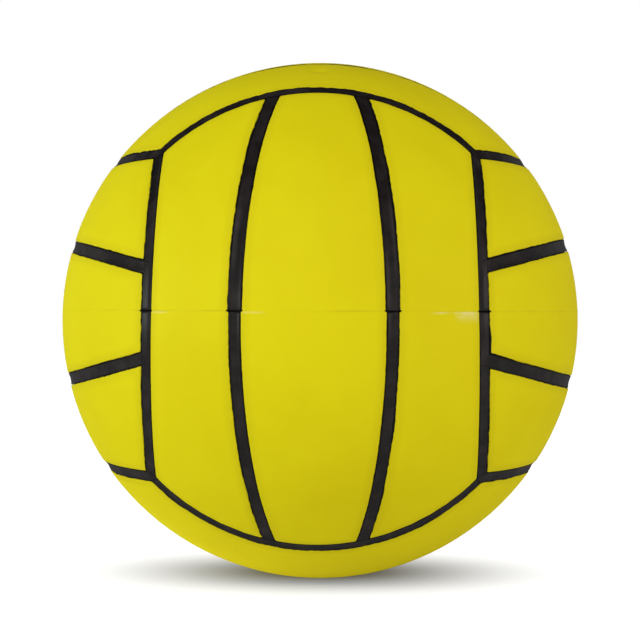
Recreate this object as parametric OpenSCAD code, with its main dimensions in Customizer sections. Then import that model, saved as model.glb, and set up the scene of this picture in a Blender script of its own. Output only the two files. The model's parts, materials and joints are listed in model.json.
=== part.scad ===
// Moulded rubber volleyball: eighteen cover panels cemented into the pockets of a ribbed black carcass,
// over a nylon winding and a butyl bladder with a push-in needle valve.
// Millimetres. The origin is the centre of the ball, +Z is up and the front faces -Y.

/* [Ball] */
// Outside diameter of the inflated ball
ball_d = 210; // [190:1:230]

/* [Cover panels] */
// Thickness of a cover panel
panel_t = 1.2; // [1.1:0.1:2.4]
// Width of the black seam between two panels
seam_w = 4.4; // [3:0.1:6]
// Depth of the seam below the panels
seam_depth = 0.6; // [0.3:0.05:0.9]
// Radius rolled onto the outer edges of a panel
edge_r = 0.8; // [0.3:0.1:1]
// Angle from the middle of a face to its two inner seams
strip_angle = 15.2; // [12:0.1:18]

/* [Layers under the cover] */
// Thickness of the carcass between its seam ribs
carcass_t = 0.4; // [0.3:0.1:1.2]
// Thickness of the nylon thread winding
winding_t = 0.3; // [0.2:0.1:0.8]
// Thickness of the bladder wall
bladder_t = 0.4; // [0.3:0.1:1.2]
// Film of rubber cement between two bonded faces
cement_film = 0.1; // [0.05:0.01:0.2]

/* [Valve housing] */
// Gap round the valve core in the hole of the cover panel
cover_gap = 0.3; // [0.1:0.05:0.6]
// Chamfer round the mouth of that hole
cover_chamfer = 0.3; // [0.1:0.1:0.6]
// Outside diameter of the housing where it passes through the layers
housing_neck_d = 10; // [9.2:0.1:14]
// Diameter of the flange that is bonded inside the bladder
housing_flange_d = 34; // [24:1:50]
// Thickness of the flange
housing_flange_t = 0.8; // [0.5:0.1:1.5]
// Diameter of the barrel that hangs inside the bladder
housing_barrel_d = 12; // [11.2:0.1:16]
// Wall left under the valve core
housing_floor_t = 2; // [1:0.1:4]
// Air hole through that wall
air_hole_d = 3; // [1.5:0.1:4]
// Width of the cone that stiffens the corner between flange and barrel
housing_shoulder = 3; // [1:0.1:6]

/* [Valve core] */
// Diameter of the core's round head
core_head_d = 7.4; // [7:0.1:8]
// Depth of the head's seat in the housing
core_seat = 0.8; // [0.4:0.1:2]
// Depth of the head below the outside of the ball
core_recess = 0.4; // [0.1:0.1:0.8]
// Diameter of the core's neck
core_neck_d = 5; // [4.2:0.1:6]
// Length of that neck
core_neck_l = 3.5; // [2:0.1:6]
// Diameter of the bulb that keeps the core in its housing
core_bulb_d = 7.4; // [6.4:0.1:8]
// Length of the bulb's straight part
core_bulb_l = 5; // [3:0.1:8]
// Length of the cone at each end of the bulb
core_cone_l = 1.5; // [1:0.1:2.5]
// Hole that guides the inflating needle
needle_bore_d = 2.2; // [1.8:0.1:2.6]
// Diameter of the funnel at the mouth of that hole
funnel_d = 3; // [2.8:0.1:4]
// Rubber left closed below the needle hole, where its slit is
core_seal_t = 2; // [1:0.1:3]
// Play between the core and its housing
core_play = 0.05; // [0.03:0.01:0.1]

/* [Hidden] */
$fn = 180;

// Radii of the layers, from the outside in
cover_r = ball_d / 2;
cover_inner_r = cover_r - panel_t;
rib_r = cover_r - seam_depth;
carcass_r = cover_inner_r - cement_film;
carcass_inner_r = carcass_r - carcass_t;
winding_r = carcass_inner_r - cement_film;
winding_inner_r = winding_r - winding_t;
bladder_r = winding_inner_r - cement_film;
bladder_inner_r = bladder_r - bladder_t;

// Each face is bounded by cones round the X, Y and Z axes that meet at the corners of a cube,
// and the inner seams lie in planes through the centre of the ball
edge_angle = acos(1 / sqrt(3));
half_seam = seam_w / 2;
// Heights between which the cutting cones run, and how far cutters pass the faces they cut
cone_foot = 0.3 * cover_r;
cone_top = 1.1 * cover_r;
overcut = 1;
// The roll's centre lies a little nearer to both faces than its radius, so that it crosses them
roll_inset = 0.97 * edge_r;

// Heights of the valve's pieces above the centre of the ball: the valve stands on +Z
housing_top = sqrt(pow(cover_inner_r, 2) - pow(housing_neck_d / 2, 2)) - cement_film;
flange_top_r = bladder_inner_r - cement_film;
core_top = cover_r - core_recess;
core_neck_top = housing_top - core_seat;
core_cone_top = core_neck_top - core_neck_l;
core_bulb_top = core_cone_top - core_cone_l;
core_bulb_foot = core_bulb_top - core_bulb_l;
core_foot = core_bulb_foot - core_cone_l;
housing_foot = core_foot - core_play - housing_floor_t;
funnel_t = (funnel_d - needle_bore_d) / 2;
needle_bore_foot = core_foot + core_seal_t;

cover_colour = "#d8cc14";
carcass_colour = "#1c1c1d";
winding_colour = "#e4e0d2";
bladder_colour = "#3a3532";
valve_colour = "#222224";

// Six faces, each with its turn about the cube's diagonal and its half turn about an axis.
// Their three strips are named from the side where the turned Y axis is negative.
FACES = [
    ["top", 0, [0, 0, 0], ["front", "middle", "rear"]],
    ["bottom", 0, [180, 0, 0], ["rear", "middle", "front"]],
    ["right", 120, [0, 0, 0], ["lower", "middle", "upper"]],
    ["left", 120, [0, 0, 180], ["lower", "middle", "upper"]],
    ["back", 240, [0, 0, 0], ["left", "middle", "right"]],
    ["front", 240, [0, 0, 180], ["right", "middle", "left"]],
];
STRIPS = [-1, 0, 1];
PANELS = [for (face = FACES) for (strip = STRIPS)
    [str(face[0], "_", face[3][strip + 1], "_panel"), face, strip]];
INNER_NODES = ["carcass", "winding", "bladder", "valve_housing", "valve_core"];

VALVE_PANEL = "top_middle_panel";

// Turns what is drawn on the top face onto another face
module on_face(face) {
    rotate(face[2]) rotate(a = face[1], v = [1, 1, 1]) children();
}

// A sphere with its poles along Y, away from the edges of every strip of the top face
module round_body(r) {
    rotate([0, 90, 90]) sphere(r);
}

// The inside of a face's edge cone round +Z, moved out by a distance measured square to its side
module seam_cone(shift) {
    apex = -shift / sin(edge_angle);
    foot_r = (cone_foot - apex) * tan(edge_angle);
    top_r = (cone_top - apex) * tan(edge_angle);
    rotate([0, 0, 90]) translate([0, 0, cone_foot])
        cylinder(h = cone_top - cone_foot, r1 = foot_r, r2 = top_r);
}

// The space on the +Y side of an inner seam's plane, moved along +Y by a distance
module beyond_inner_seam(shift) {
    rotate([-strip_angle, 0, 0]) translate([-2 * ball_d, shift, -ball_d])
        cube([4 * ball_d, 2 * ball_d, 3 * ball_d]);
}

// The space of one strip of the top face, with its walls set back from the seam lines
module strip_space(strip, set_back) {
    if (strip == 0)
        difference() {
            seam_cone(-set_back);
            for (side = [0, 1]) mirror([0, side, 0]) beyond_inner_seam(-set_back);
        }
    else
        mirror([0, strip < 0 ? 1 : 0, 0]) difference() {
            intersection() {
                seam_cone(-set_back);
                beyond_inner_seam(set_back);
            }
            rotate([-90, 0, 0]) seam_cone(set_back);
        }
}

// Ring round Z that rolls an outer edge along a seam at an angle from +Z,
// for a panel on the axis side of the seam (side 1) or beyond it (side -1)
module edge_roll(angle, side) {
    along = [sin(angle), cos(angle)];
    across = side * [cos(angle), -sin(angle)];
    depth = half_seam + roll_inset;
    centre = sqrt(pow(cover_r - roll_inset, 2) - pow(depth, 2)) * along - depth * across;
    out = centre / norm(centre);
    size = edge_r + overcut;
    rotate([0, 0, 90]) rotate_extrude() difference() {
        polygon([centre, centre + size * out, centre + size * (out + across), centre + size * across]);
        translate(centre) circle(edge_r);
    }
}

// The same along an inner seam, for a panel beyond its plane (side 1) or before it (side -1)
module inner_edge_roll(side) {
    rotate([-90 - strip_angle, 0, 0]) edge_roll(90, side);
}

// One cover panel on the top face, its outer edges rolled one after another
module strip_panel(strip) {
    difference() {
        difference() {
            difference() {
                intersection() {
                    strip_space(strip, half_seam);
                    difference() {
                        round_body(cover_r);
                        round_body(cover_inner_r);
                    }
                }
                edge_roll(edge_angle, 1);
            }
            mirror([0, strip < 0 ? 1 : 0, 0]) inner_edge_roll(strip == 0 ? -1 : 1);
        }
        if (strip == 0) mirror([0, 1, 0]) inner_edge_roll(-1);
        else rotate([strip * -90, 0, 0]) edge_roll(edge_angle, -1);
    }
}

// Round hole through the cover for the head of the valve core, with a chamfered mouth
module cover_hole() {
    hole_d = core_head_d + 2 * cover_gap;
    translate([0, 0, cover_inner_r - overcut]) cylinder(h = panel_t + 2 * overcut, d = hole_d);
    translate([0, 0, cover_r - cover_chamfer])
        cylinder(h = 2 * cover_chamfer, d1 = hole_d, d2 = hole_d + 4 * cover_chamfer);
}

module cover_panel(name, face, strip) {
    color(cover_colour) difference() {
        on_face(face) strip_panel(strip);
        if (name == VALVE_PANEL) cover_hole();
    }
}

// Hole for the housing's neck through the layers under the cover
module neck_hole() {
    translate([0, 0, bladder_inner_r - 2 * overcut])
        cylinder(h = cover_r - bladder_inner_r + 2 * overcut, d = housing_neck_d + 2 * cement_film);
}

module layer(outer_r, inner_r) {
    difference() {
        sphere(outer_r);
        sphere(inner_r);
        neck_hole();
    }
}

// Pocket that one panel is cemented into
module panel_pocket(face, strip) {
    on_face(face) difference() {
        strip_space(strip, half_seam - cement_film);
        round_body(carcass_r);
    }
}

// Shell of black rubber whose ribs stand between the panels
module carcass() {
    color(carcass_colour) difference() {
        difference() {
            sphere(rib_r);
            for (panel = PANELS) panel_pocket(panel[1], panel[2]);
        }
        sphere(carcass_inner_r);
        neck_hole();
    }
}

module winding() {
    color(winding_colour) layer(winding_r, winding_inner_r);
}

module bladder() {
    color(bladder_colour) layer(bladder_r, bladder_inner_r);
}

// Outline of the push-in core, from its foot to its head, grown by the play round it
module core_outline(play) {
    polygon([
        [0, core_foot - play],
        [core_neck_d / 2, core_foot - play],
        [core_bulb_d / 2 + play, core_bulb_foot],
        [core_bulb_d / 2 + play, core_bulb_top],
        [core_neck_d / 2 + play, core_cone_top],
        [core_neck_d / 2 + play, core_neck_top - play],
        [core_head_d / 2 + play, core_neck_top - play],
        [core_head_d / 2 + play, core_top],
        [0, core_top],
    ]);
}

// Half outline of the boot round the core: a neck, a flange that fits the bladder, and a shouldered barrel
module housing_outline() {
    neck_foot = flange_top_r - housing_flange_t;
    barrel_r = housing_barrel_d / 2;
    translate([0, neck_foot]) square([housing_neck_d / 2, housing_top - neck_foot]);
    intersection() {
        circle(flange_top_r);
        union() {
            difference() {
                translate([0, housing_foot]) square([housing_flange_d / 2, cover_r - housing_foot]);
                circle(flange_top_r - housing_flange_t);
            }
            translate([0, housing_foot]) square([barrel_r, cover_r - housing_foot]);
            polygon([
                [0, neck_foot - housing_shoulder],
                [barrel_r, neck_foot - housing_shoulder],
                [barrel_r + housing_shoulder, neck_foot],
                [0, neck_foot],
            ]);
        }
    }
}

// Rubber boot with a flange bonded inside the bladder, which carries the valve core
module valve_housing() {
    color(valve_colour) rotate_extrude() difference() {
        housing_outline();
        core_outline(core_play);
        translate([0, housing_foot - overcut]) square([air_hole_d / 2, housing_floor_t + 2 * overcut]);
    }
}

// Soft plug with the hole that guides the needle to the slit in its closed foot
module valve_core() {
    color(valve_colour) difference() {
        rotate_extrude() core_outline(0);
        translate([0, 0, needle_bore_foot])
            cylinder(h = core_top - needle_bore_foot + overcut, d = needle_bore_d);
        translate([0, 0, core_top - funnel_t])
            cylinder(h = 2 * funnel_t, d1 = needle_bore_d, d2 = 2 * funnel_d - needle_bore_d);
    }
}

for (panel = PANELS)
    cover_panel(panel[0], panel[1], panel[2]);
carcass();
winding();
bladder();
valve_housing();
valve_core();
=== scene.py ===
import json
import math

import bmesh
import bpy
from mathutils import Matrix, Quaternion, Vector, noise


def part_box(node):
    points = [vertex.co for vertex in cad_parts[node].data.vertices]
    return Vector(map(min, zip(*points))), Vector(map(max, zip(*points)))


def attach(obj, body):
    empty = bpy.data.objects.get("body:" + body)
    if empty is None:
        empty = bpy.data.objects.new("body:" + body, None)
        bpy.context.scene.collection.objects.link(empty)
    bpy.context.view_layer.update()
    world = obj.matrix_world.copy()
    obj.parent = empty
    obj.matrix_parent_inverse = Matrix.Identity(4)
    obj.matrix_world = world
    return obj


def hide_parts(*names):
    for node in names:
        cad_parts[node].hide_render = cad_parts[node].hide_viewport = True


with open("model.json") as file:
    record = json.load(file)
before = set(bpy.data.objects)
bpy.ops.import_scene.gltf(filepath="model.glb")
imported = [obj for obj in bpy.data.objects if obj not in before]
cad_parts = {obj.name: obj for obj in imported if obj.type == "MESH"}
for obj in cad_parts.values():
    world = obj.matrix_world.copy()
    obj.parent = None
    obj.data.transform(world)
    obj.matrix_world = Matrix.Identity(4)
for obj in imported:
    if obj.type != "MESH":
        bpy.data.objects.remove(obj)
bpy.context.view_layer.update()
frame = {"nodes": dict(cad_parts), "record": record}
nodes = frame["nodes"]
mounts = {mount["name"]: mount for mount in frame["record"]["mounts"]}
mm = 0.001
weld = 0.001  # mm, points closer than this become one
print("frame loaded:", len(nodes), "nodes")

# the seam lines that every piece of the cover follows, in mm and degrees
ball = {
    "stripAngle": 15.25,  # from the middle of a face to its two inner seams
    "seamAngles": {  # other angles, to the first strip's seam and to the last strip's
        "top": (13.7, 13.7),
        "bottom": (10.5, 10.5),
        "left": (15.25, 14.7),
        "right": (15.5, 15.25),
    },
    "rise": 3.7,  # the layout's centre lies this far above the ball's own
    "seamWidth": 4.5,  # from the wall of one panel to the next
    "partingHeight": 4.1,  # where the two halves of the mould met
    "mouldSteps": (-0.1, 0.3),  # added to each side of upright inner seams, below and above it
    "stepLength": 0.3,
    "widened": {"left": 0.1, "right": 0.2},  # added to each side of these faces' inner seams
}
ballRadius = -mounts["ball_seat"]["pos_m"][2] / mm
edgeAngle = math.acos(1 / math.sqrt(3))  # a face ends on circles through the corners of a cube
halfSeam = ball["seamWidth"] / 2
partingLift = ball["partingHeight"] - ball["rise"]
seamLayer = "seamDistance"  # mm from each point to the middle of its seam

# each face is the top one, turned about the cube's diagonal and then by half a turn about an axis
levelTurn, uprightTurn = 120, 240  # degrees, the strips then run level or upright
faces = [
    {"name": "top", "turn": 0, "half": None, "strips": ("front", "middle", "rear")},
    {"name": "bottom", "turn": 0, "half": "X", "strips": ("rear", "middle", "front")},
    {"name": "right", "turn": levelTurn, "half": None, "strips": ("lower", "middle", "upper")},
    {"name": "left", "turn": levelTurn, "half": "Z", "strips": ("lower", "middle", "upper")},
    {"name": "back", "turn": uprightTurn, "half": None, "strips": ("left", "middle", "right")},
    {"name": "front", "turn": uprightTurn, "half": "Z", "strips": ("right", "middle", "left")},
]


def faceTurn(face):
    turn = Matrix.Rotation(math.radians(face["turn"]), 3, Vector((1, 1, 1)))
    if face["half"]:
        turn = Matrix.Rotation(math.pi, 3, face["half"]) @ turn
    return turn


# a direction of the layout: swing along a strip, then angle about the strip's long axis
def layoutPoint(swing, across):
    reach = math.cos(swing)
    return Vector((math.sin(swing), reach * math.sin(across), reach * math.cos(across)))


# throws a direction of the layout onto the ball from the layout's centre
def raised(direction):
    rise = ball["rise"] / ballRadius
    level = direction.z * rise
    return direction * (math.sqrt(level * level + 1 - rise * rise) - level) + Vector((0, 0, rise))


# a direction by degrees: azimuth from the front towards the right, elevation from the horizon
def heading(azimuth, elevation):
    side, rise = math.radians(azimuth), math.radians(elevation)
    reach = math.cos(rise)
    return Vector((math.sin(side) * reach, -math.cos(side) * reach, math.sin(rise)))


def smoothStep(low, high, value):
    share = min(1, max(0, (value - low) / (high - low)))
    return share * share * (3 - 2 * share)


# the angles of a quarter turn in even steps
def quarterTurn(steps):
    return [math.pi / 2 * step / steps for step in range(steps + 1)]


# from the middle of a face to its inner seam on one side, -1 or 1
def innerAngle(face, side):
    plain = ball["stripAngle"], ball["stripAngle"]
    return math.radians(ball["seamAngles"].get(face["name"], plain)[side > 0])


# mm by which the inner seams of a face are wider than the rest on each side
def extraWidth(face, swing):
    if face["turn"] != uprightTurn:
        return ball["widened"].get(face["name"], 0)
    below, above = ball["mouldSteps"]
    height = ballRadius * math.sin(swing) - partingLift
    return below + (above - below) * smoothStep(-ball["stepLength"], ball["stepLength"], height)


# sRGB as a hex value to linear light
def linear(hexColour):
    parts = [int(hexColour[k:k + 2], 16) / 255 for k in (1, 3, 5)]
    return [p / 12.92 if p <= 0.04045 else ((p + 0.055) / 1.055) ** 2.4 for p in parts] + [1]


def addNode(tree, kind, inputs=(), **settings):
    node = tree.nodes.new(kind)
    for name, value in settings.items():
        setattr(node, name, value)
    for name, value in dict(inputs).items():
        if isinstance(value, bpy.types.NodeSocket):
            tree.links.new(value, node.inputs[name])
        else:
            node.inputs[name].default_value = value
    return node


def newMaterial(name):
    material = bpy.data.materials.new(name)
    material.use_nodes = True
    material.node_tree.nodes.clear()
    return material, material.node_tree


rubberIor = 1.5
noiseRange = (0.3, 0.7)  # most of a noise lies between these
fullPart = 3  # a painted line is at full strength within this part of its width

# vulcanised natural rubber, moulded in polished steel halves: an even, nearly matt skin with a
# faint broad sheen, soft clouds in the pigment, and black seam paint whose brushed edge wanders
# over the panels' rolled rims
coverLook = {
    "yellow": "#dbcf11",
    "cloud": "#d7c90f",
    "cloudSize": 38,  # mm, as every size here
    "cloudRange": (0.35, 0.68),  # values of the noise between which a cloud sets in
    "rim": "#c6b913",  # painted shade along the seams
    "seamShadeReach": 4.2,
    "seamShadeShare": 0.5,
    "line": "#b3a31c",  # a faint, broken darker line along the parting line
    "lineWidth": (0.5, 0.1),  # where it sets in, and where it is full
    "lineRange": (0.35, 0.7),
    "lineShare": (0.0, 0.35),
    "scuff": "#e6dca2",  # where the flash of the mould was trimmed off
    "scuffs": (  # degrees from the front, mm below the line, half length, half height, strength
        (-32, 0.5, 7.0, 0.6, 0.5),
        (-12, 0.5, 6.5, 0.7, 0.3),
        (28, 0.6, 12.0, 0.7, 0.6),
        (31.5, 0.3, 9.0, 5.0, 0.4),
    ),
    "scuffCore": 0.2,  # share of a scuff's size with its full strength
    "scuffDrop": 0.4,  # scuffs set in over this below the line
    "breakSize": 3.5,
    "breakRange": (0.3, 0.6),
    "paint": "#141313",
    "paintReach": 2.47,  # from a seam's middle to the edge of its paint
    "paintSoft": (-0.1, 0.14),  # that edge blurs over this
    "paintWander": 0.34,
    "wanderSize": 14,
    "paintFray": 0.22,
    "fraySize": 2.6,
    "paintSpots": (  # azimuth, elevation, mm across, mm more paint than elsewhere
        (38.6, -2.0, 15, 0.5),
        (38.6, -4.0, 15, 0.5),
    ),
    "tickReach": 0.55,  # paint that crept along the parting line
    "tickWidth": 0.5,
    "grainSize": 0.9,  # coarser than the mould's own polish so that it shows
    "grainDepth": 0.05,
    "grainShare": 0.12,  # of the grain in the relief, beside the clouds
    "bump": 0.25,
    "roughness": (0.5, 0.6),
    "wax": {"Coat Weight": 0.12, "Coat Roughness": 0.55, "Coat IOR": 1.45},  # film from the mould
}


# mm above the parting line, and mm away from it
def partingHeights(tree, spot):
    height = addNode(tree, "ShaderNodeSeparateXYZ", {"Vector": spot}).outputs["Z"]
    height = addNode(tree, "ShaderNodeMath", {
        0: height, 1: 1 / mm, 2: -ball["partingHeight"]}, operation="MULTIPLY_ADD").outputs[0]
    away = addNode(tree, "ShaderNodeMath", {0: height}, operation="ABSOLUTE").outputs[0]
    return height, away


def makeCoverRubber():
    look = coverLook
    material, tree = newMaterial("mouldedYellowRubber")
    spot = addNode(tree, "ShaderNodeTexCoord").outputs["Object"]
    seam = addNode(tree, "ShaderNodeAttribute", attribute_name=seamLayer).outputs["Fac"]
    above, parting = partingHeights(tree, spot)

    # where the seam paint ends
    wander = addNode(tree, "ShaderNodeTexNoise", {
        "Vector": spot, "Scale": 1 / (look["wanderSize"] * mm), "Detail": 1.0}).outputs["Fac"]
    fray = addNode(tree, "ShaderNodeTexNoise", {
        "Vector": spot, "Scale": 1 / (look["fraySize"] * mm), "Detail": 1.0}).outputs["Fac"]
    tick = addNode(tree, "ShaderNodeMapRange", {
        "Value": parting, "From Min": look["tickWidth"], "From Max": look["tickWidth"] / fullPart,
        "To Min": 0.0, "To Max": look["tickReach"]}, interpolation_type="SMOOTHSTEP").outputs[0]
    reach = addNode(tree, "ShaderNodeMath", {
        0: wander, 1: 2 * look["paintWander"],
        2: look["paintReach"] - look["paintWander"] - look["paintFray"]},
        operation="MULTIPLY_ADD").outputs[0]
    reach = addNode(tree, "ShaderNodeMath", {
        0: fray, 1: 2 * look["paintFray"], 2: reach}, operation="MULTIPLY_ADD").outputs[0]
    reach = addNode(tree, "ShaderNodeMath", {0: reach, 1: tick}, operation="ADD").outputs[0]
    for azimuth, elevation, size, more in look["paintSpots"]:
        middle = heading(azimuth, elevation) * ballRadius
        away = addNode(tree, "ShaderNodeVectorMath", {
            0: spot, 1: middle * mm}, operation="DISTANCE").outputs["Value"]
        more = addNode(tree, "ShaderNodeMapRange", {
            "Value": away, "From Min": size / 2 * mm, "From Max": 0.0,
            "To Min": 0.0, "To Max": more}, interpolation_type="SMOOTHSTEP").outputs[0]
        reach = addNode(tree, "ShaderNodeMath", {0: reach, 1: more}, operation="ADD").outputs[0]
    beyond = addNode(tree, "ShaderNodeMath", {0: seam, 1: reach}, operation="SUBTRACT").outputs[0]
    bare = addNode(tree, "ShaderNodeMapRange", {
        "Value": beyond, "From Min": look["paintSoft"][0], "From Max": look["paintSoft"][1]},
        interpolation_type="SMOOTHSTEP").outputs[0]

    # pigment clouds, and painted shade along the seams
    cloud = addNode(tree, "ShaderNodeTexNoise", {
        "Vector": spot, "Scale": 1 / (look["cloudSize"] * mm), "Detail": 3.0,
        "Roughness": 0.55}).outputs["Fac"]
    cloud = addNode(tree, "ShaderNodeMapRange", {
        "Value": cloud, "From Min": look["cloudRange"][0],
        "From Max": look["cloudRange"][1]}).outputs[0]
    colour = addNode(tree, "ShaderNodeMix", {
        0: cloud, 6: linear(look["yellow"]), 7: linear(look["cloud"])}, data_type="RGBA").outputs[2]
    # painted shade: the yellow darkens towards the seams
    rim = addNode(tree, "ShaderNodeMapRange", {
        "Value": beyond, "From Min": 0.0, "From Max": look["seamShadeReach"],
        "To Min": look["seamShadeShare"], "To Max": 0.0}, interpolation_type="SMOOTHSTEP").outputs[0]
    colour = addNode(tree, "ShaderNodeMix", {
        0: rim, 6: colour, 7: linear(look["rim"])}, data_type="RGBA").outputs[2]

    # the parting line and the pale scuffs beside it
    line = addNode(tree, "ShaderNodeMapRange", {
        "Value": parting, "From Min": look["lineWidth"][0], "From Max": look["lineWidth"][1]},
        interpolation_type="SMOOTHSTEP").outputs[0]
    faint = addNode(tree, "ShaderNodeMapRange", {
        "Value": wander, "From Min": look["lineRange"][0], "From Max": look["lineRange"][1],
        "To Min": look["lineShare"][0], "To Max": look["lineShare"][1]}).outputs[0]
    line = addNode(tree, "ShaderNodeMath", {0: line, 1: faint}, operation="MULTIPLY").outputs[0]
    colour = addNode(tree, "ShaderNodeMix", {
        0: line, 6: colour, 7: linear(look["line"])}, data_type="RGBA").outputs[2]
    broken = addNode(tree, "ShaderNodeTexNoise", {
        "Vector": spot, "Scale": 1 / (look["breakSize"] * mm), "Detail": 2.0}).outputs["Fac"]
    broken = addNode(tree, "ShaderNodeMapRange", {
        "Value": broken, "From Min": look["breakRange"][0],
        "From Max": look["breakRange"][1]}).outputs[0]
    lower = addNode(tree, "ShaderNodeMapRange", {
        "Value": above, "From Min": 0.0, "From Max": -look["scuffDrop"]}).outputs[0]
    broken = addNode(tree, "ShaderNodeMath", {0: broken, 1: lower}, operation="MULTIPLY").outputs[0]
    for azimuth, drop, length, height, share in look["scuffs"]:
        middle = heading(azimuth, 0) * ballRadius + Vector((0, 0, ball["partingHeight"] - drop))
        inside = addNode(tree, "ShaderNodeVectorMath", {
            0: spot, 1: middle * mm}, operation="SUBTRACT").outputs[0]
        inside = addNode(tree, "ShaderNodeVectorMath", {
            0: inside, 1: (length * mm, length * mm, height * mm)}, operation="DIVIDE").outputs[0]
        inside = addNode(tree, "ShaderNodeVectorMath", {
            0: inside}, operation="LENGTH").outputs["Value"]
        inside = addNode(tree, "ShaderNodeMapRange", {
            "Value": inside, "From Min": 1.0, "From Max": look["scuffCore"],
            "To Min": 0.0, "To Max": share}, interpolation_type="SMOOTHSTEP").outputs[0]
        inside = addNode(tree, "ShaderNodeMath", {
            0: inside, 1: broken}, operation="MULTIPLY").outputs[0]
        colour = addNode(tree, "ShaderNodeMix", {
            0: inside, 6: colour, 7: linear(look["scuff"])}, data_type="RGBA").outputs[2]
    colour = addNode(tree, "ShaderNodeMix", {
        0: bare, 6: linear(look["paint"]), 7: colour}, data_type="RGBA").outputs[2]

    # the wax film alone shines, so the rubber under it has no gloss of its own
    grain = addNode(tree, "ShaderNodeTexNoise", {
        "Vector": spot, "Scale": 1 / (look["grainSize"] * mm), "Detail": 2.0}).outputs["Fac"]
    rough = addNode(tree, "ShaderNodeMapRange", {
        "Value": grain, "From Min": noiseRange[0], "From Max": noiseRange[1],
        "To Min": look["roughness"][0], "To Max": look["roughness"][1]}).outputs[0]
    relief = addNode(tree, "ShaderNodeMath", {
        0: grain, 1: look["grainShare"], 2: cloud}, operation="MULTIPLY_ADD").outputs[0]
    bump = addNode(tree, "ShaderNodeBump", {
        "Strength": look["bump"], "Distance": look["grainDepth"] * mm, "Height": relief}).outputs[0]
    shader = addNode(tree, "ShaderNodeBsdfPrincipled", {
        "Base Color": colour, "Roughness": rough, "IOR": rubberIor, "Specular IOR Level": 0.0,
        "Normal": bump, "Coat Normal": bump, **look["wax"]})
    addNode(tree, "ShaderNodeOutputMaterial", {"Surface": shader.outputs[0]})
    return material


# carbon black rubber under brushed seam paint: near black and satin, worn a little paler in
# strokes, with painted shade along its edges beside the panels and in the crack where it crosses
# the parting line
carcassLook = {
    "black": "#191516",
    "worn": "#2b2627",
    "wornRange": (0.4, 0.75),
    "edge": "#060505",  # painted shade in the crevices beside the panels
    "edgeShadeReach": (1.4, 2.2),  # mm from the seam's middle, as every size here
    "strokeSize": 7,
    "strokeDepth": 0.1,
    "bump": 0.3,
    # painted shade in the crack where a rib crosses the parting line
    "crackShade": "#050505",
    "crackShadeWidth": 0.45,
    "roughness": (0.48, 0.58),
    "crackRoughness": 0.8,
    "paint": {"Coat Weight": 0.08, "Coat Roughness": 0.26, "Coat IOR": 2.0},  # carbon black's IOR
}


def makeCarcassRubber():
    look = carcassLook
    material, tree = newMaterial("paintedBlackRubber")
    spot = addNode(tree, "ShaderNodeTexCoord").outputs["Object"]
    stroke = addNode(tree, "ShaderNodeTexNoise", {
        "Vector": spot, "Scale": 1 / (look["strokeSize"] * mm), "Detail": 3.0}).outputs["Fac"]
    worn = addNode(tree, "ShaderNodeMapRange", {
        "Value": stroke, "From Min": look["wornRange"][0],
        "From Max": look["wornRange"][1]}).outputs[0]
    colour = addNode(tree, "ShaderNodeMix", {
        0: worn, 6: linear(look["black"]), 7: linear(look["worn"])}, data_type="RGBA").outputs[2]
    seam = addNode(tree, "ShaderNodeAttribute", attribute_name=seamLayer).outputs["Fac"]
    # painted shade along the rib's edges, beside the panels
    edge = addNode(tree, "ShaderNodeMapRange", {
        "Value": seam, "From Min": look["edgeShadeReach"][0], "From Max": look["edgeShadeReach"][1]},
        interpolation_type="SMOOTHSTEP").outputs[0]
    colour = addNode(tree, "ShaderNodeMix", {
        0: edge, 6: colour, 7: linear(look["edge"])}, data_type="RGBA").outputs[2]
    # painted shade in the crack at the parting line
    offCrack = addNode(tree, "ShaderNodeMapRange", {
        "Value": partingHeights(tree, spot)[1], "From Min": look["crackShadeWidth"] / fullPart,
        "From Max": look["crackShadeWidth"]}, interpolation_type="SMOOTHSTEP").outputs[0]
    colour = addNode(tree, "ShaderNodeMix", {
        0: offCrack, 6: linear(look["crackShade"]), 7: colour}, data_type="RGBA").outputs[2]
    rough = addNode(tree, "ShaderNodeMapRange", {
        "Value": stroke, "From Min": noiseRange[0], "From Max": noiseRange[1],
        "To Min": look["roughness"][0], "To Max": look["roughness"][1]}).outputs[0]
    rough = addNode(tree, "ShaderNodeMix", {
        0: offCrack, 2: look["crackRoughness"], 3: rough}, data_type="FLOAT").outputs[0]
    bump = addNode(tree, "ShaderNodeBump", {
        "Strength": look["bump"], "Distance": look["strokeDepth"] * mm,
        "Height": stroke}).outputs[0]
    shader = addNode(tree, "ShaderNodeBsdfPrincipled", {
        "Base Color": colour, "Roughness": rough, "IOR": rubberIor, "Specular IOR Level": 0.0,
        "Normal": bump, "Coat Normal": bump, **look["paint"]})
    addNode(tree, "ShaderNodeOutputMaterial", {"Surface": shader.outputs[0]})
    return material


# nylon thread wound round the bladder and set in latex: pale, dull, with a criss-cross lay
windingLook = {
    "thread": "#ded8c4",
    "latex": "#b9ad8c",
    "spacing": 1.6,  # mm from thread to thread
    "depth": 0.2,  # mm
    "lays": ((0.5, 0.3, 0.0), (-0.6, 0.9, 0.4), (0.2, -0.7, 1.1)),  # turns in radians
    "wobble": 0.6,
    "bump": 0.6,
    "roughness": 0.7,
}
wavePeriod = 0.314  # metres from band to band of a wave texture of scale 1


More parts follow.
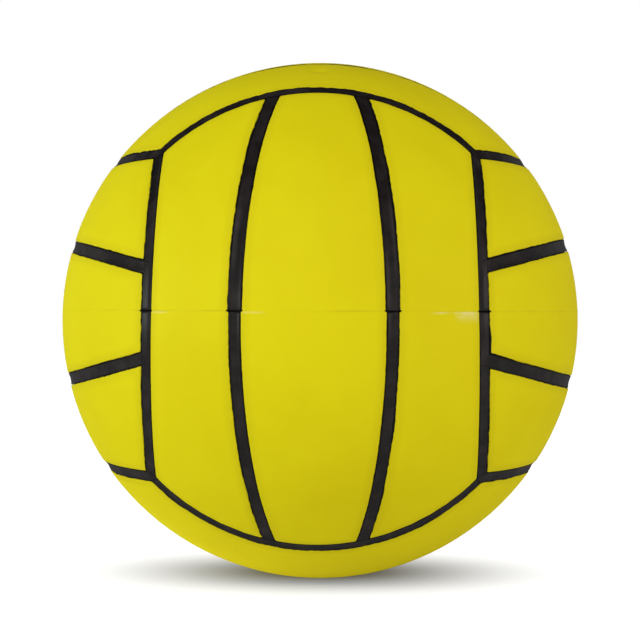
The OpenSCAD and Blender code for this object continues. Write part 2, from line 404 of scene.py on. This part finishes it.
def makeWinding():
    look = windingLook
    material, tree = newMaterial("woundNylonThread")
    spot = addNode(tree, "ShaderNodeTexCoord").outputs["Object"]
    lay = None
    for turn in look["lays"]:
        turned = addNode(tree, "ShaderNodeMapping", {"Vector": spot, "Rotation": turn}).outputs[0]
        wave = addNode(tree, "ShaderNodeTexWave", {
            "Vector": turned, "Scale": wavePeriod / (look["spacing"] * mm),
            "Distortion": look["wobble"], "Detail": 1.0}, wave_profile="SIN").outputs["Fac"]
        if lay is None:
            lay = wave
        else:
            lay = addNode(tree, "ShaderNodeMath", {0: lay, 1: wave}, operation="MAXIMUM").outputs[0]
    colour = addNode(tree, "ShaderNodeMix", {
        0: lay, 6: linear(look["latex"]), 7: linear(look["thread"])}, data_type="RGBA").outputs[2]
    bump = addNode(tree, "ShaderNodeBump", {
        "Strength": look["bump"], "Distance": look["depth"] * mm, "Height": lay}).outputs[0]
    shader = addNode(tree, "ShaderNodeBsdfPrincipled", {
        "Base Color": colour, "Roughness": look["roughness"], "Normal": bump})
    addNode(tree, "ShaderNodeOutputMaterial", {"Surface": shader.outputs[0]})
    return material


# moulded butyl and valve rubber: matt black with a dusting of talc left from the mould
dustyLook = {
    "talcRange": (0.45, 0.75),
    "talcShare": 0.6,
    "depth": 0.05,  # mm
    "bump": 0.2,
    "roughness": (0.5, 0.75),
}
butylLook = {"black": "#38332f", "talc": "#5a544d", "dustSize": 6, **dustyLook}  # mm
valveLook = {"black": "#1d1d1e", "talc": "#343335", "dustSize": 1.5, **dustyLook}  # mm


def makeDustyRubber(name, look):
    material, tree = newMaterial(name)
    spot = addNode(tree, "ShaderNodeTexCoord").outputs["Object"]
    dust = addNode(tree, "ShaderNodeTexNoise", {
        "Vector": spot, "Scale": 1 / (look["dustSize"] * mm), "Detail": 4.0,
        "Roughness": 0.6}).outputs["Fac"]
    thin = addNode(tree, "ShaderNodeMapRange", {
        "Value": dust, "From Min": look["talcRange"][0], "From Max": look["talcRange"][1],
        "To Max": look["talcShare"]}).outputs[0]
    colour = addNode(tree, "ShaderNodeMix", {
        0: thin, 6: linear(look["black"]), 7: linear(look["talc"])}, data_type="RGBA").outputs[2]
    rough = addNode(tree, "ShaderNodeMapRange", {
        "Value": dust, "From Min": noiseRange[0], "From Max": noiseRange[1],
        "To Min": look["roughness"][0], "To Max": look["roughness"][1]}).outputs[0]
    bump = addNode(tree, "ShaderNodeBump", {
        "Strength": look["bump"], "Distance": look["depth"] * mm, "Height": dust}).outputs[0]
    shader = addNode(tree, "ShaderNodeBsdfPrincipled", {
        "Base Color": colour, "Roughness": rough, "IOR": rubberIor, "Normal": bump})
    addNode(tree, "ShaderNodeOutputMaterial", {"Surface": shader.outputs[0]})
    return material


coverRubber = makeCoverRubber()
carcassRubber = makeCarcassRubber()
windingThread = makeWinding()
butylRubber = makeDustyRubber("mouldedButylRubber", butylLook)
valveRubber = makeDustyRubber("mouldedValveRubber", valveLook)
print("materials made")


# two grids of the same stations, shaped by place() and welded along their rims into a closed shell
def closedShell(mesh, columns, rows, place):
    layers = mesh.verts.layers.float
    layer = layers.get(seamLayer) or layers.new(seamLayer)
    lastColumn, lastRow = len(columns) - 1, len(rows) - 1
    made = []
    for upper in (True, False):
        grid = bmesh.ops.create_grid(mesh, x_segments=lastColumn, y_segments=lastRow, size=1)
        for vert in grid["verts"]:
            column = columns[round((vert.co.x + 1) / 2 * lastColumn)]
            row = rows[round((vert.co.y + 1) / 2 * lastRow)]
            vert.co, vert[layer] = place(column, row, upper)
        made += grid["verts"]
    bmesh.ops.remove_doubles(mesh, verts=made, dist=weld)


def finishPiece(name, mesh, material, replaced, sharpAngle=50):
    bmesh.ops.recalc_face_normals(mesh, faces=mesh.faces)
    bmesh.ops.scale(mesh, vec=(mm, mm, mm), verts=mesh.verts)
    data = bpy.data.meshes.new(name)
    mesh.to_mesh(data)
    mesh.free()
    data.shade_smooth()
    data.set_sharp_from_angle(angle=math.radians(sharpAngle))
    data.materials.append(material)
    piece = bpy.data.objects.new(name, data)
    bpy.context.scene.collection.objects.link(piece)
    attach(piece, "root")
    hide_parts(replaced)
    return piece


# the cover panels, in mm
panel = {
    "thickness": 1.2,
    "roll": 0.7,  # radius of the outer edges
    "rollSteps": 5,
    "shoulder": 0.16,  # how far a panel sinks towards its seams
    "shoulderReach": 8,
    "edgeRows": (1.7, 3, 4.8),  # from the wall
    "clear": 9,  # from a seam to the first row of the plain middle
    "pitch": 4.6,
    "keepOff": 0.4,  # share of the pitch kept free beside extra rows
    "ridge": 0.09,  # flash left along the parting line
    "ridgeWidth": 0.35,
    "ridgeRows": (-0.9, -0.5, -0.25, 0, 0.25, 0.5, 0.9),
    "waviness": 0.05,
    "wavinessSize": 45,
    "cornerBlend": 0.25,  # how far the paint fills the corners
}
ridgeShifts = [partingLift + shift for shift in panel["ridgeRows"]]

# a shallow dimple that the mould left in the middle of one panel, in mm
dimple = {
    "panel": "top_front_panel",
    "elevation": 67.1,  # degrees
    "radius": 4.5,
    "depth": 0.6,
    "pitch": 0.9,
    "rows": 6,  # to each side of its middle
}
dimpleShifts = [step * dimple["pitch"] for step in range(-dimple["rows"], dimple["rows"] + 1)]

# the valve's plug and its round hole in the panel, in mm
valve = {
    "panel": "top_middle_panel",
    "gap": 0.3,  # round the plug
    "lip": 0.4,  # radius of the hole's mouth
    "innerRows": 4,
    "lipRows": (0.12, 0.4, 1),  # shares of the lip
    "outerRows": (2, 4, 7),  # from the hole
    "blend": 9,  # rows bend from square to round over this
    "cut": 0.98,  # faces inside this share of the hole's radius are taken out
    "funnel": 0.4,  # mouth of the needle's bore
    "rim": 0.35,
    "arcSteps": 4,
    "seat": 0.8,  # from the housing's top to the plug's neck
    "neckRadius": 2.5,
    "neckLength": 3.5,
    "neckSlope": 1.5,
    "footRadius": 2.5,
    "footSlope": 1.5,
    "steps": 48,
    "sharpAngle": 35,  # degrees
}
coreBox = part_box("valve_core")
coreRadius = coreBox[1].x / mm
coreTop = coreBox[1].z / mm
holeRadius = coreRadius + valve["gap"]
holeSteps = [holeRadius * k / valve["innerRows"] for k in range(valve["innerRows"] + 1)]
holeSteps += [holeRadius + valve["lip"] * share for share in valve["lipRows"]]
holeSteps += [holeRadius + away for away in valve["outerRows"]]
topScale = 1 - ball["rise"] / ballRadius  # the layout is this much closer at the top
holeShifts = sorted({sign * step / topScale for sign in (-1, 1) for step in holeSteps})


# stations from one seam to the opposite one, each with its share of the way, the distance kept
# from the seam, a shift from the face's middle or none, and whether it is the foot of the wall
# extra stations keep their shifts, or crowd together where the strip narrows
def stations(length, shifts=(), crowd=False):
    turns = quarterTurn(panel["rollSteps"])
    edge = [(halfSeam, True)]
    edge += [(halfSeam + panel["roll"] * (1 - math.cos(turn)), False) for turn in turns]
    edge += [(halfSeam + distance, False) for distance in panel["edgeRows"]]
    edge += [(panel["clear"], False)]
    inner = length - 2 * panel["clear"]
    count = round(inner / panel["pitch"])
    middle = [(step / count, None) for step in range(1, count)]
    if shifts:
        free = panel["pitch"] * panel["keepOff"]
        low, high = min(shifts) - free, max(shifts) + free
        middle = [place for place in middle if not low < (place[0] - 0.5) * inner < high]
        middle += [(0.5 + shift / inner, None if crowd else shift) for shift in shifts]
        middle.sort()
    return ([(0, distance, None, foot) for distance, foot in edge]
            + [(share, panel["clear"], shift, False) for share, shift in middle]
            + [(1, distance, None, foot) for distance, foot in reversed(edge)])


# angle about the strip's long axis of one of its lengthwise rows
def acrossAngle(face, strip, swing, row):
    share, distance, shift = row[:3]
    reach = ballRadius * math.cos(swing)
    if shift is not None:
        return shift / reach
    inset = math.asin((distance + extraWidth(face, swing)) / reach)
    if strip == 0:
        near, far = inset - innerAngle(face, -1), innerAngle(face, 1) - inset
    else:
        near = innerAngle(face, strip) + inset
        far = math.asin(min(1, math.cos(edgeAngle + distance / ballRadius) / math.cos(swing)))
    return near + share * (far - near)


# swing along the strip at which a lengthwise row comes this near to the end seam
def endSwing(face, strip, row, distance, halvings=40):
    low, high = 0, edgeAngle
    level = math.cos(edgeAngle - distance / ballRadius)
    for halving in range(halvings):
        middle = (low + high) / 2
        if math.cos(middle) * math.cos(acrossAngle(face, strip, middle, row)) > level:
            low = middle
        else:
            high = middle
    return low


# mm from a point of a strip to the seam at its nearer end and to those on its two sides
def seamDistances(face, strip, point):
    distances = [ballRadius * (edgeAngle - math.acos(min(1, point.z)))]
    for side in (-1, 1) if strip == 0 else (strip,):
        inner = innerAngle(face, side)
        away = math.asin(side * point.y * math.cos(inner) - point.z * math.sin(inner)) * ballRadius
        distances.append(-away if strip == 0 else away)
    if strip != 0:
        distances.append(ballRadius * (math.acos(strip * point.y) - edgeAngle))
    return distances


# how far the outside lies below the ball's sphere, from the distances to the walls
def panelDepth(walls, world):
    roll = panel["roll"]
    over = math.sqrt(sum(max(0, roll - wall) ** 2 for wall in walls))
    depth = roll - math.sqrt(max(0, roll * roll - over * over))
    for wall in walls:
        sunk = max(0, 1 - wall / panel["shoulderReach"]) ** 2
        depth += panel["shoulder"] * sunk / len(walls) * 2
    inside = smoothStep(0, panel["shoulderReach"], min(walls))
    wave = noise.noise(world * (ballRadius / panel["wavinessSize"]))
    depth += inside * panel["waviness"] * (0.5 + 0.5 * wave)
    away = (world.z * ballRadius - ball["partingHeight"]) / panel["ridgeWidth"]
    return depth - inside * panel["ridge"] * math.exp(-away * away)


def makePanel(face, strip):
    name = "{}_{}_panel".format(face["name"], face["strips"][strip + 1])
    turn = faceTurn(face)
    hasValve = name == valve["panel"]
    hasDimple = name == dimple["panel"]
    alongShifts = acrossShifts = holeShifts if hasValve else dimpleShifts if hasDimple else ()
    if face["turn"] == uprightTurn:
        alongShifts = ridgeShifts
    if face["turn"] == levelTurn and strip == 0:
        acrossShifts = ridgeShifts
    middleRow = (0.5, 0, None, False)
    columns = stations(2 * endSwing(face, strip, middleRow, 0) * ballRadius, alongShifts)
    if strip == 0:
        width = innerAngle(face, -1) + innerAngle(face, 1)
    else:
        width = math.pi / 2 - edgeAngle - innerAngle(face, strip)
    rows = stations(width * ballRadius, acrossShifts, hasValve or hasDimple)
    swings = {}

    def place(column, row, upper):
        share, distance, shift, foot = column
        if (row, distance) not in swings:
            swings[row, distance] = endSwing(face, strip, row, distance)
        swing = (2 * share - 1) * swings[row, distance] if shift is None else shift / ballRadius
        across = acrossAngle(face, strip, swing, row) * (-1 if strip < 0 else 1)
        point = layoutPoint(swing, across)
        world = raised(turn @ point)
        gone = 0
        if hasDimple:
            away = (world - heading(0, dimple["elevation"])).length * ballRadius
            gone = dimple["depth"] * (1 - smoothStep(0, dimple["radius"], away))
        if hasValve:
            square = max(abs(world.x), abs(world.y)) * ballRadius
            circle = world.xy.length * ballRadius
            if circle > 0:
                bend = 1 - smoothStep(0, valve["blend"], square - holeRadius)
                world.xy = world.xy * (1 + bend * (square / circle - 1))
                world.z = math.sqrt(1 - world.xy.length_squared)
            lip = valve["lip"]
            over = max(0, lip - max(0, world.xy.length * ballRadius - holeRadius))
            gone = lip - math.sqrt(max(0, lip * lip - over * over))
        # the end seam comes first, then one inner seam or two
        seams = seamDistances(face, strip, point)
        for side in (1, 2) if strip == 0 else (1,):
            seams[side] -= extraWidth(face, swing)
        depth = panel["thickness"]
        if upper and not foot and not row[3]:
            depth = min(depth, panelDepth([seam - halfSeam for seam in seams], world) + gone)
        fill = panel["cornerBlend"]
        paint = -fill * math.log(sum(math.exp(-seam / fill) for seam in seams))
        return world * (ballRadius - depth), paint

    mesh = bmesh.new()
    closedShell(mesh, columns, rows, place)
    if hasValve:
        cut = valve["cut"] * holeRadius
        middle = [part for part in mesh.faces if part.calc_center_median().xy.length < cut]
        bmesh.ops.delete(mesh, geom=middle, context="FACES")
        bmesh.ops.bridge_loops(mesh, edges=[edge for edge in mesh.edges if edge.is_boundary])
    return finishPiece("cover_" + name, mesh, coverRubber, name)


for face in faces:
    for strip in (-1, 0, 1):
        made = makePanel(face, strip)
    print("panels made:", face["name"], len(made.data.vertices), "points in the last")

# the carcass: a black shell with a rib along every seam, in mm
carcass = {
    "film": 0.1,  # of cement under and beside the panels
    "wall": 0.4,
    "middle": 0.62,  # depth of a rib's dished middle below the ball's sphere
    "sides": 0.25,  # depth of its sides
    "edge": 0.15,  # how far the very edge is rounded off
    "edgeFrom": 0.86,  # share of the half width from which it is
    "rise": 5,  # length over which the dish runs out towards a rib's ends
    "dive": 1.0,  # how steeply an inner rib's end dips under the rib that it meets
    "across": (-1, -0.96, -0.86, -0.7, -0.5, -0.25, 0, 0.25, 0.5, 0.7, 0.86, 0.96, 1),
    "pitch": 2.6,
    "lap": 0.01,  # radians by which a rib round a face's end runs past the corners
    "sunk": 0.1,  # foot of a rib in the shell
    "notch": 0.45,  # depth of the crack where a rib crosses the parting line
    "notchWidth": 0.4,
    "notchShifts": (-0.9, -0.5, -0.3, 0, 0.3, 0.5, 0.9),
    "neckRadius": 5.1,
    "segments": (96, 48),
}
halfRib = halfSeam - carcass["film"]


def makeRib(mesh, turn, length, lay, notchShares, dive=0):
    count = round(length / carcass["pitch"])
    shares = [step / count for step in range(count + 1)]
    shares = [share for share in shares if not notchShares[0] < share < notchShares[-1]]
    shares = sorted(shares + notchShares)
    columns = [(0, True)] + [(share, False) for share in shares] + [(1, True)]
    rows = [(-1, True)] + [(share, False) for share in carcass["across"]] + [(1, True)]
    footDepth = panel["thickness"] + carcass["film"] + carcass["sunk"]

    def place(column, row, upper):
        point = raised(turn @ lay(column[0], row[0] * halfRib))
        depth = footDepth
        if upper and not column[1] and not row[1]:
            away = min(column[0], 1 - column[0]) * length
            dish = (carcass["middle"] - carcass["sides"]) * smoothStep(0, carcass["rise"], away)
            over = max(0, abs(row[0]) - carcass["edgeFrom"]) / (1 - carcass["edgeFrom"])
            under = max(0, 1 - (halfSeam / 2 + away) / halfRib)
            depth = carcass["sides"] + dish * (1 - row[0] ** 2)
            depth += carcass["edge"] * over ** 2 + dive * under ** 2
            height = (point.z * ballRadius - ball["partingHeight"]) / carcass["notchWidth"]
            depth += carcass["notch"] * math.exp(-height * height)
        return point * (ballRadius - depth), abs(row[0]) * halfRib

    closedShell(mesh, columns, rows, place)


def makeCarcass():
    mesh = bmesh.new()
    neck = carcass["neckRadius"]
    outer = ballRadius - panel["thickness"] - carcass["film"]
    for radius in (outer, outer - carcass["wall"]):
        made = bmesh.ops.create_uvsphere(mesh, u_segments=carcass["segments"][0],
                                         v_segments=carcass["segments"][1], radius=radius)["verts"]
        pole = max(made, key=lambda vert: vert.co.z)
        rim = [edge.other_vert(pole) for edge in pole.link_edges]
        for vert in rim:
            vert.co.xy = vert.co.xy.normalized() * neck
            vert.co.z = math.sqrt(radius ** 2 - neck ** 2)
        bmesh.ops.delete(mesh, geom=[pole], context="VERTS")
    bmesh.ops.bridge_loops(mesh, edges=[edge for edge in mesh.edges if edge.is_boundary])

    endLength = math.pi / 2 * ballRadius * math.sin(edgeAngle)
    endSweep = math.pi / 2 + carcass["lap"]
    notches = [(partingLift + shift) / ballRadius for shift in carcass["notchShifts"]]
    endNotch = [0.5 + notch / math.sin(edgeAngle) / endSweep for notch in notches]
    for face in faces:
        turn = faceTurn(face)
        for side in (-1, 1):
            inner = innerAngle(face, side)
            innerEnd = math.acos(math.cos(edgeAngle - halfSeam / 2 / ballRadius) / math.cos(inner))
            innerNotch = [0.5 + notch / innerEnd / 2 for notch in notches]

            def innerSeam(share, offset):
                swing = (2 * share - 1) * innerEnd
                offset *= 1 + extraWidth(face, swing) / halfRib
                return layoutPoint(swing, side * inner
                                   + math.asin(offset / (ballRadius * math.cos(swing))))

            def endSeam(share, offset):
                away = edgeAngle + offset / ballRadius
                sweep = (share - 0.5) * endSweep
                return Vector((side * math.sin(away) * math.cos(sweep),
                               math.sin(away) * math.sin(sweep), math.cos(away)))

            makeRib(mesh, turn, 2 * innerEnd * ballRadius, innerSeam, innerNotch, carcass["dive"])
            makeRib(mesh, turn, endLength, endSeam, endNotch)
    return finishPiece("ribbed_carcass", mesh, carcassRubber, "carcass")


makeCarcass()
print("carcass made")


# the valve's soft plug, spun from its half outline
def makeCore():
    rim, funnel = valve["rim"], valve["funnel"]
    turns = quarterTurn(valve["arcSteps"])
    needle = mounts["needle_bore"]
    bore = needle["dims"]["r_mm"]
    boreFoot = needle["pos_m"][2] / mm - needle["dims"]["length_mm"] / 2
    foot = coreBox[0].z / mm
    funnelFoot = coreTop - 2 * funnel
    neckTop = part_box("valve_housing")[1].z / mm - valve["seat"]
    neckFoot = neckTop - valve["neckLength"]
    outline = [(0, boreFoot), (bore, boreFoot), (bore, funnelFoot)]
    outline += [(bore + funnel * (1 - math.cos(turn)), funnelFoot + 2 * funnel * math.sin(turn))
                for turn in turns[1:]]
    outline += [(coreRadius - rim + rim * math.sin(turn), coreTop - rim + rim * math.cos(turn))
                for turn in turns]
    outline += [(coreRadius, neckTop), (valve["neckRadius"], neckTop),
                (valve["neckRadius"], neckFoot), (coreRadius, neckFoot - valve["neckSlope"]),
                (coreRadius, foot + valve["footSlope"]), (valve["footRadius"], foot), (0, foot)]
    mesh = bmesh.new()
    points = [mesh.verts.new((radius, 0, height)) for radius, height in outline]
    lines = [mesh.edges.new(pair) for pair in zip(points, points[1:])]
    bmesh.ops.spin(mesh, geom=points + lines, cent=(0, 0, 0), axis=(0, 0, 1), angle=2 * math.pi,
                   steps=valve["steps"], use_merge=True)
    bmesh.ops.remove_doubles(mesh, verts=mesh.verts, dist=weld)
    return finishPiece("valve_plug", mesh, valveRubber, "valve_core",
                       valve["sharpAngle"])


makeCore()
dressed = {"winding": windingThread, "bladder": butylRubber, "valve_housing": valveRubber}
for name, material in dressed.items():
    nodes[name].data.materials.clear()
    nodes[name].data.materials.append(material)
print("valve made and the inner layers dressed")


# 1 for rays that look at the background: straight, mirrored or through glass
def seenRays(tree):
    rays = addNode(tree, "ShaderNodeLightPath").outputs
    seen = addNode(tree, "ShaderNodeMath", {
        0: rays["Is Camera Ray"], 1: rays["Is Glossy Ray"]}, operation="MAXIMUM").outputs[0]
    return addNode(tree, "ShaderNodeMath", {
        0: seen, 1: rays["Is Transmission Ray"]}, operation="MAXIMUM").outputs[0]


# the white sheet that the ball stands on, in metres
floor = {
    "size": 6,
    "shadowBack": 0.0075,  # the shadow's middle lies this far behind the contact
    "shadowDepth": 1.7,  # it is this many times shorter from front to back than from side to side
    "shadowReach": (0.005, 0.112),
    "shown": "#6e6e6e",  # for whoever looks at it
    "white": "#eeeeee",  # for the light that it sends back up
    "bounce": (0.34, 0.055),  # light that it adds on the ball, from under it and from further out
    "bounceLeft": 0.05,  # the middle of that light lies towards the stronger lamp
}


def makeFloor():
    mesh = bmesh.new()
    bmesh.ops.create_grid(mesh, x_segments=2, y_segments=2, size=floor["size"] / 2)
    bmesh.ops.translate(mesh, vec=mounts["ball_seat"]["pos_m"], verts=mesh.verts)
    data = bpy.data.meshes.new("studio_floor")
    mesh.to_mesh(data)
    mesh.free()
    sheet = bpy.data.objects.new("studio_floor", data)
    bpy.context.scene.collection.objects.link(sheet)

    # white paper: whoever looks at it sees a grey matt surface under a glow that paints the shadow
    # round the contact; for the light that it sends back up it is matt white and glows brightest
    # under the ball
    material, tree = newMaterial("whitePaperPaintedShadow")
    near, far = floor["shadowReach"]
    spot = addNode(tree, "ShaderNodeTexCoord").outputs["Object"]
    flat = addNode(tree, "ShaderNodeVectorMath", {
        0: spot, 1: (1, 1, 0)}, operation="MULTIPLY").outputs[0]
    away = addNode(tree, "ShaderNodeVectorMath", {
        0: flat, 1: (-floor["bounceLeft"], 0, 0)}, operation="DISTANCE").outputs["Value"]
    bounce = addNode(tree, "ShaderNodeMapRange", {
        "Value": away, "From Min": near, "From Max": far, "To Min": floor["bounce"][0],
        "To Max": floor["bounce"][1]}, interpolation_type="SMOOTHSTEP").outputs[0]
    flat = addNode(tree, "ShaderNodeVectorMath", {
        0: flat, 1: (0, -floor["shadowBack"], 0)}, operation="ADD").outputs[0]
    flat = addNode(tree, "ShaderNodeVectorMath", {
        0: flat, 1: (1, floor["shadowDepth"], 0)}, operation="MULTIPLY").outputs[0]
    away = addNode(tree, "ShaderNodeVectorMath", {0: flat}, operation="LENGTH").outputs["Value"]
    # painted shadow: the glow is dark round the contact and full further out
    shadowAndBounceGlow = addNode(tree, "ShaderNodeMapRange", {
        "Value": away, "From Min": near, "From Max": far},
        interpolation_type="SMOOTHSTEP").outputs[0]
    seen = seenRays(tree)
    shadowAndBounceGlow = addNode(tree, "ShaderNodeMix", {
        0: seen, 2: bounce, 3: shadowAndBounceGlow}, data_type="FLOAT").outputs[0]
    light = addNode(tree, "ShaderNodeEmission", {
        "Color": (1, 1, 1, 1), "Strength": shadowAndBounceGlow}).outputs[0]
    tone = addNode(tree, "ShaderNodeMix", {
        0: seen, 6: linear(floor["white"]), 7: linear(floor["shown"])}, data_type="RGBA").outputs[2]
    matt = addNode(tree, "ShaderNodeBsdfDiffuse", {"Color": tone}).outputs[0]
    both = addNode(tree, "ShaderNodeAddShader", {0: light, 1: matt}).outputs[0]
    addNode(tree, "ShaderNodeOutputMaterial", {"Surface": both})
    data.materials.append(material)


# the room: white walls, a ceiling that is dark where it would show in the ball
room = {
    "wallTop": 16,  # degrees above the horizon
    "ceilingFoot": 37,
    "ceiling": 0.12,
    "ambient": (0.85, 0.1),  # light on the ball from the horizon and from straight above
    "lean": 0.12,  # share by which it is stronger from the left and weaker from the right
}


def makeRoom():
    world = bpy.data.worlds.new("whiteStudio")
    bpy.context.scene.world = world
    world.use_nodes = True
    tree = world.node_tree
    tree.nodes.clear()
    spot = addNode(tree, "ShaderNodeTexCoord").outputs["Generated"]
    parts = addNode(tree, "ShaderNodeSeparateXYZ", {"Vector": spot}).outputs
    wallTop, ceilingFoot = heading(0, room["wallTop"]).z, heading(0, room["ceilingFoot"]).z
    shown = addNode(tree, "ShaderNodeMapRange", {
        "Value": parts["Z"], "From Min": wallTop, "From Max": ceilingFoot, "To Min": 1.0,
        "To Max": room["ceiling"]}, interpolation_type="SMOOTHSTEP").outputs[0]
    ambient = addNode(tree, "ShaderNodeMapRange", {
        "Value": parts["Z"], "To Min": room["ambient"][0],
        "To Max": room["ambient"][1]}).outputs[0]
    lean = addNode(tree, "ShaderNodeMath", {
        0: parts["X"], 1: -room["lean"], 2: 1.0}, operation="MULTIPLY_ADD").outputs[0]
    ambient = addNode(tree, "ShaderNodeMath", {
        0: ambient, 1: lean}, operation="MULTIPLY").outputs[0]
    strength = addNode(tree, "ShaderNodeMix", {
        0: seenRays(tree), 2: ambient, 3: shown}, data_type="FLOAT").outputs[0]
    light = addNode(tree, "ShaderNodeBackground", {
        "Color": (1, 1, 1, 1), "Strength": strength}).outputs[0]
    addNode(tree, "ShaderNodeOutputWorld", {"Surface": light})


# softboxes: azimuth and elevation in degrees, metres, watts
# the rear one makes no gloss, so that the ball gets no bright rim
lamps = {
    "left_softbox": {"azimuth": -66, "elevation": 0, "away": 1.5, "size": (0.7, 0.8),
                     "power": 12.5, "colour": "#f3fff4"},
    "right_softbox": {"azimuth": 57, "elevation": 9, "away": 1.5, "size": (0.7, 0.8),
                      "power": 5.5, "colour": "#fff6ea"},
    "front_softbox": {"azimuth": -6, "elevation": 36, "away": 1.6, "size": (1.2, 0.8),
                      "power": 7.1, "colour": "#fffcf6"},
    "rear_softbox": {"azimuth": 180, "elevation": 10, "away": 1.6, "size": (1.2, 0.8),
                     "power": 9.0, "colour": "#fffdf8", "glossy": False},
}


def makeLamps():
    for name, lamp in lamps.items():
        data = bpy.data.lights.new(name, "AREA")
        data.shape = "RECTANGLE"
        data.size, data.size_y = lamp["size"]
        data.energy = lamp["power"]
        data.color = linear(lamp["colour"])[:3]
        softbox = bpy.data.objects.new(name, data)
        towards = heading(lamp["azimuth"], lamp["elevation"])
        softbox.location = towards * lamp["away"]
        softbox.visible_glossy = lamp.get("glossy", True)
        softbox.rotation_euler = (-towards).to_track_quat("-Z", "Y").to_euler()
        bpy.context.scene.collection.objects.link(softbox)


# the photograph's view: metres, degrees, mm of lens, and pixels by which the ball is off the middle
camera = {
    "distance": 0.627,
    "azimuth": 1.25,
    "elevation": 0.45,
    "roll": 0.14,
    "lens": 85.35,
    "sensor": 36,
    "offset": (0.1, -0.57),
    "frame": 640,
    "clip": (0.01, 20),
}


def makeCamera():
    data = bpy.data.cameras.new("view")
    data.lens = camera["lens"]
    data.sensor_width = camera["sensor"]
    data.shift_x = -camera["offset"][0] / camera["frame"]
    data.shift_y = -camera["offset"][1] / camera["frame"]
    data.clip_start, data.clip_end = camera["clip"]
    view = bpy.data.objects.new("view", data)
    back = heading(camera["azimuth"], camera["elevation"])
    view.location = back * camera["distance"]
    tilt = Quaternion((0, 0, 1), math.radians(camera["roll"]))
    view.rotation_euler = ((-back).to_track_quat("-Z", "Y") @ tilt).to_euler()
    bpy.context.scene.collection.objects.link(view)
    bpy.context.scene.camera = view


makeFloor()
makeRoom()
makeLamps()
makeCamera()
bpy.context.scene.view_settings.view_transform = "Standard"
print("floor, room, lamps and camera set")
